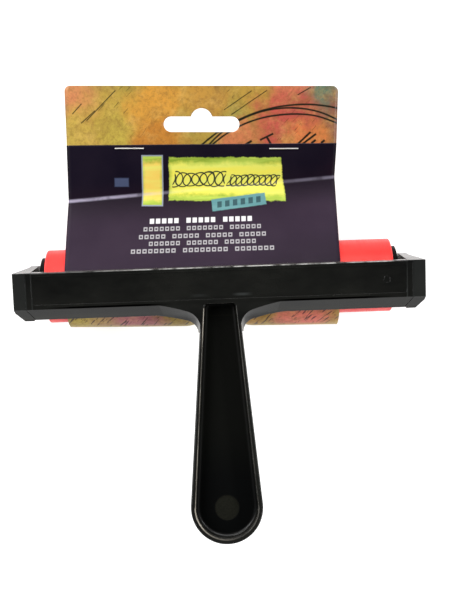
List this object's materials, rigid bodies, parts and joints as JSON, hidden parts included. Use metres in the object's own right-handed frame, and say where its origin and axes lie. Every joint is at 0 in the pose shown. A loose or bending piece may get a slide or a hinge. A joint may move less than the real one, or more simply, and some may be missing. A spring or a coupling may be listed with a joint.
{
  "type": "rubber brayer",
  "caption": "Hand ink roller: a rubber roller on a steel axle in a one-piece moulded frame with a channelled handle, with a stapled header card looped round the roller.",
  "frame": {"origin": "centre of the roller on its axis", "axes": "+X along the roller axle, -Y towards the handle, +Z the outward normal of the flat bar face"},
  "size_m": [0.1734, 0.1931, 0.0626],
  "materials": {
    "black_plastic": "moulded gloss, with small radii on the rims",
    "hub_plastic": "satin moulded",
    "core_plastic": "extruded, satin",
    "white_nylon": "satin",
    "red_rubber": "ground smooth, soft sheen",
    "axle_steel": "drawn bright bar",
    "zinc_plate": "zinc plated pressing",
    "staple_wire": "bright wire",
    "printed_card": "coated card, printed on the outside"
  },
  "bodies": {
    "body_frame": {"frame": "black_plastic", "axle_rod": "axle_steel", "axle_push_nuts": "zinc_plate", "thrust_washer_left": "white_nylon", "thrust_washer_right": "white_nylon"},
    "roller": {"rubber_sleeve": "red_rubber", "core_tube": "core_plastic", "end_hub_left": "hub_plastic", "end_hub_right": "hub_plastic", "bush_left": "white_nylon", "bush_right": "white_nylon"},
    "card": {"header_card": "printed_card", "staples": "staple_wire"}
  },
  "joints": [
    {"name": "roller_spin", "type": "hinge", "parent": "body_frame", "child": "roller", "pos_m": [0, 0, 0], "axis": [1, 0, 0], "continuous": true},
    {"name": "card_swing", "type": "hinge", "parent": "body_frame", "child": "card", "pos_m": [0, 0, 0], "axis": [1, 0, 0], "range_deg": [-155, 40]}
  ]
}
